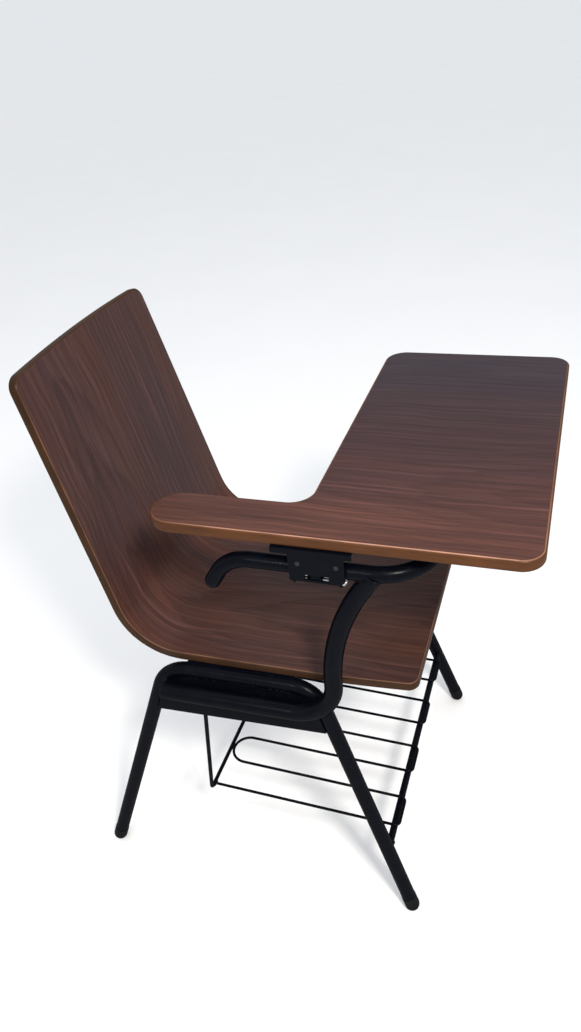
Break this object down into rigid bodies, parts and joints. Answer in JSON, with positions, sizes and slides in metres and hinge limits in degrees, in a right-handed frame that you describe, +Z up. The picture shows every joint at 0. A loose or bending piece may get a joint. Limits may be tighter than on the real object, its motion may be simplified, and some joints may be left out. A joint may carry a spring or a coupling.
{
  "type": "student desk chair",
  "caption": "Classroom chair with a one-piece moulded plywood seat and back, a fold-up tablet on the sitter's right, a bent steel tube frame and a wire book basket.",
  "frame": {"origin": "on the floor, at the centre of the bounding box's base", "axes": "+Z up; the sitter faces -Y; +X to the sitter's left, so the tablet arm stands on the -X side"},
  "size_m": [0.5528, 0.7002, 0.8815],
  "materials": {
    "walnut_ply": "dark walnut laminate on moulded plywood, satin lacquer",
    "walnut_board": "dark walnut laminate, satin, with a lacquered edge",
    "black_steel": "gloss black enamel",
    "black_plastic": "satin",
    "rubber": "matt",
    "nylon": "satin",
    "zinc": "bright zinc plate",
    "brass": "turned"
  },
  "bodies": {
    "frame": {"seat_shell": "walnut_ply", "seat_inserts": "brass", "seat_screws": "zinc", "seat_bars": "black_steel", "right_leg_frame": "black_steel", "left_leg_frame": "black_steel", "right_side_plate": "black_steel", "left_side_plate": "black_steel", "front_cross_tube": "black_steel", "rear_cross_tube": "black_steel", "right_front_glide": "black_plastic", "right_rear_glide": "black_plastic", "left_front_glide": "black_plastic", "left_rear_glide": "black_plastic", "arm_post": "black_steel", "post_plug": "black_plastic", "arm_tube": "black_steel", "arm_tube_plugs": "black_plastic", "rest_bumpers": "rubber", "basket_wire": "black_steel", "basket_front_rod": "black_steel", "basket_rear_hoop": "black_steel", "hinge_barrel": "black_steel"},
    "tablet": {"tablet_board": "walnut_board", "tablet_riser": "black_steel", "tablet_screws": "zinc", "hinge_leaf": "black_steel", "stop_block": "nylon", "hinge_rivets": "black_steel", "pivot_bolt": "zinc", "pivot_nut": "zinc"}
  },
  "joints": [
    {"name": "tablet_fold", "type": "hinge", "parent": "frame", "child": "tablet", "pos_m": [-0.25575, -0.09063, 0.6515], "axis": [0, -1, 0], "range_deg": [0, 95]}
  ]
}
